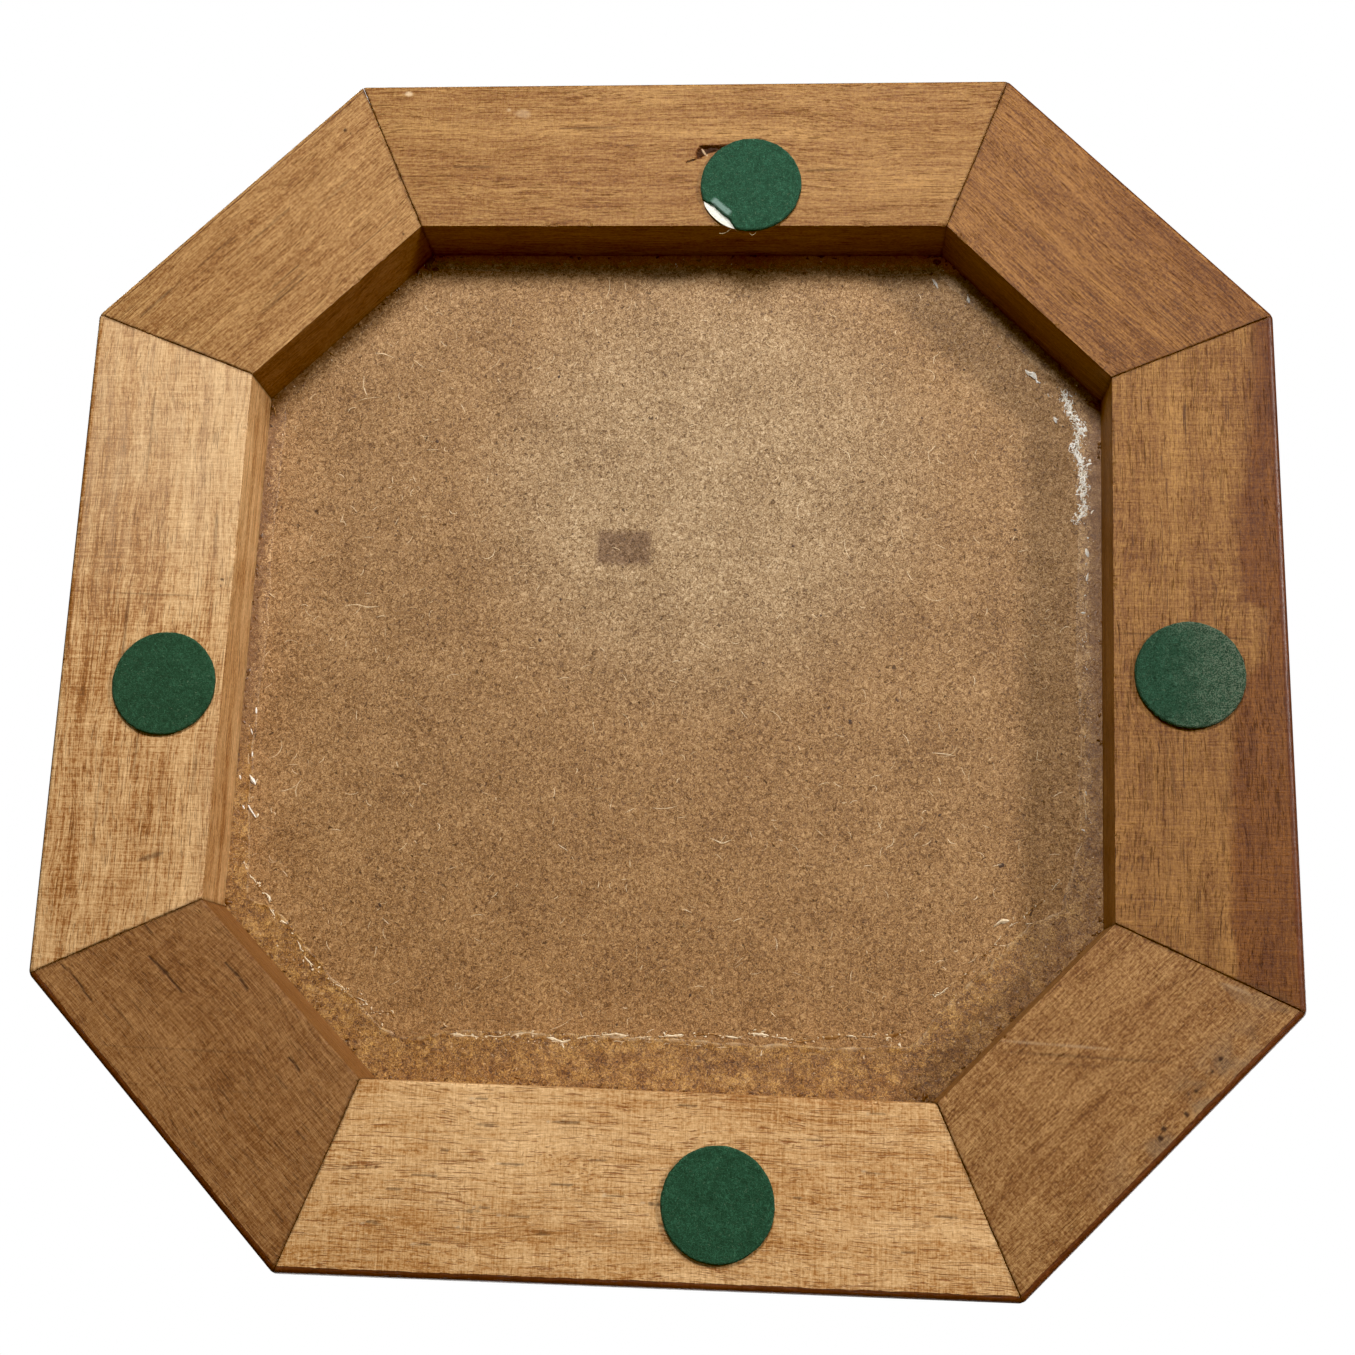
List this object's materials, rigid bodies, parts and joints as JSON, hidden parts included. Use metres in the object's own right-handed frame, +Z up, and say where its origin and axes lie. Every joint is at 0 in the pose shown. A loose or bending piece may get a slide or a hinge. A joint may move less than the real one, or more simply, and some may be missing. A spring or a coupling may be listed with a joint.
{
  "type": "crokinole board",
  "caption": "Small octagonal crokinole board: mitred hardwood rails round a raised disc with a centre hole, a peg ring and a ditch, on felt feet.",
  "frame": {"origin": "middle of the footprint, on the plane the felt feet stand on", "axes": "+Z up out of the playing surface, -Y towards the player at the front rail, +X to that player's right"},
  "size_m": [0.283, 0.2839, 0.0333],
  "materials": {
    "rail_wood": "raw sawn underside, dark reddish stain and satin varnish on the outer faces and rim",
    "hardboard": "raw tempered hardboard with fine fibre and specks",
    "playing_wood": "smooth satin varnished pale wood with inked rings",
    "spline_wood": "raw, hidden",
    "green_felt": "pressed wool felt, slightly dusty",
    "backing_paper": "self-adhesive paper backing",
    "dried_glue": "clear amber dried wood glue with milky crusts",
    "pin_brass": "slightly dull",
    "sleeve_rubber": "matte"
  },
  "bodies": {
    "root": {"front_right_rail": "rail_wood", "right_rail": "rail_wood", "back_right_rail": "rail_wood", "back_rail": "rail_wood", "back_left_rail": "rail_wood", "left_rail": "rail_wood", "front_left_rail": "rail_wood", "front_rail": "rail_wood", "mitre_splines": "spline_wood", "base_panel": "hardboard", "glue_film": "dried_glue", "playing_surface": "playing_wood", "peg_pins": "pin_brass", "peg_sleeves": "sleeve_rubber", "front_felt_pad": "green_felt", "front_pad_backing": "backing_paper", "back_felt_pad": "green_felt", "back_pad_backing": "backing_paper", "left_felt_pad": "green_felt", "left_pad_backing": "backing_paper", "right_felt_pad": "green_felt", "right_pad_backing": "backing_paper"}
  },
  "joints": []
}
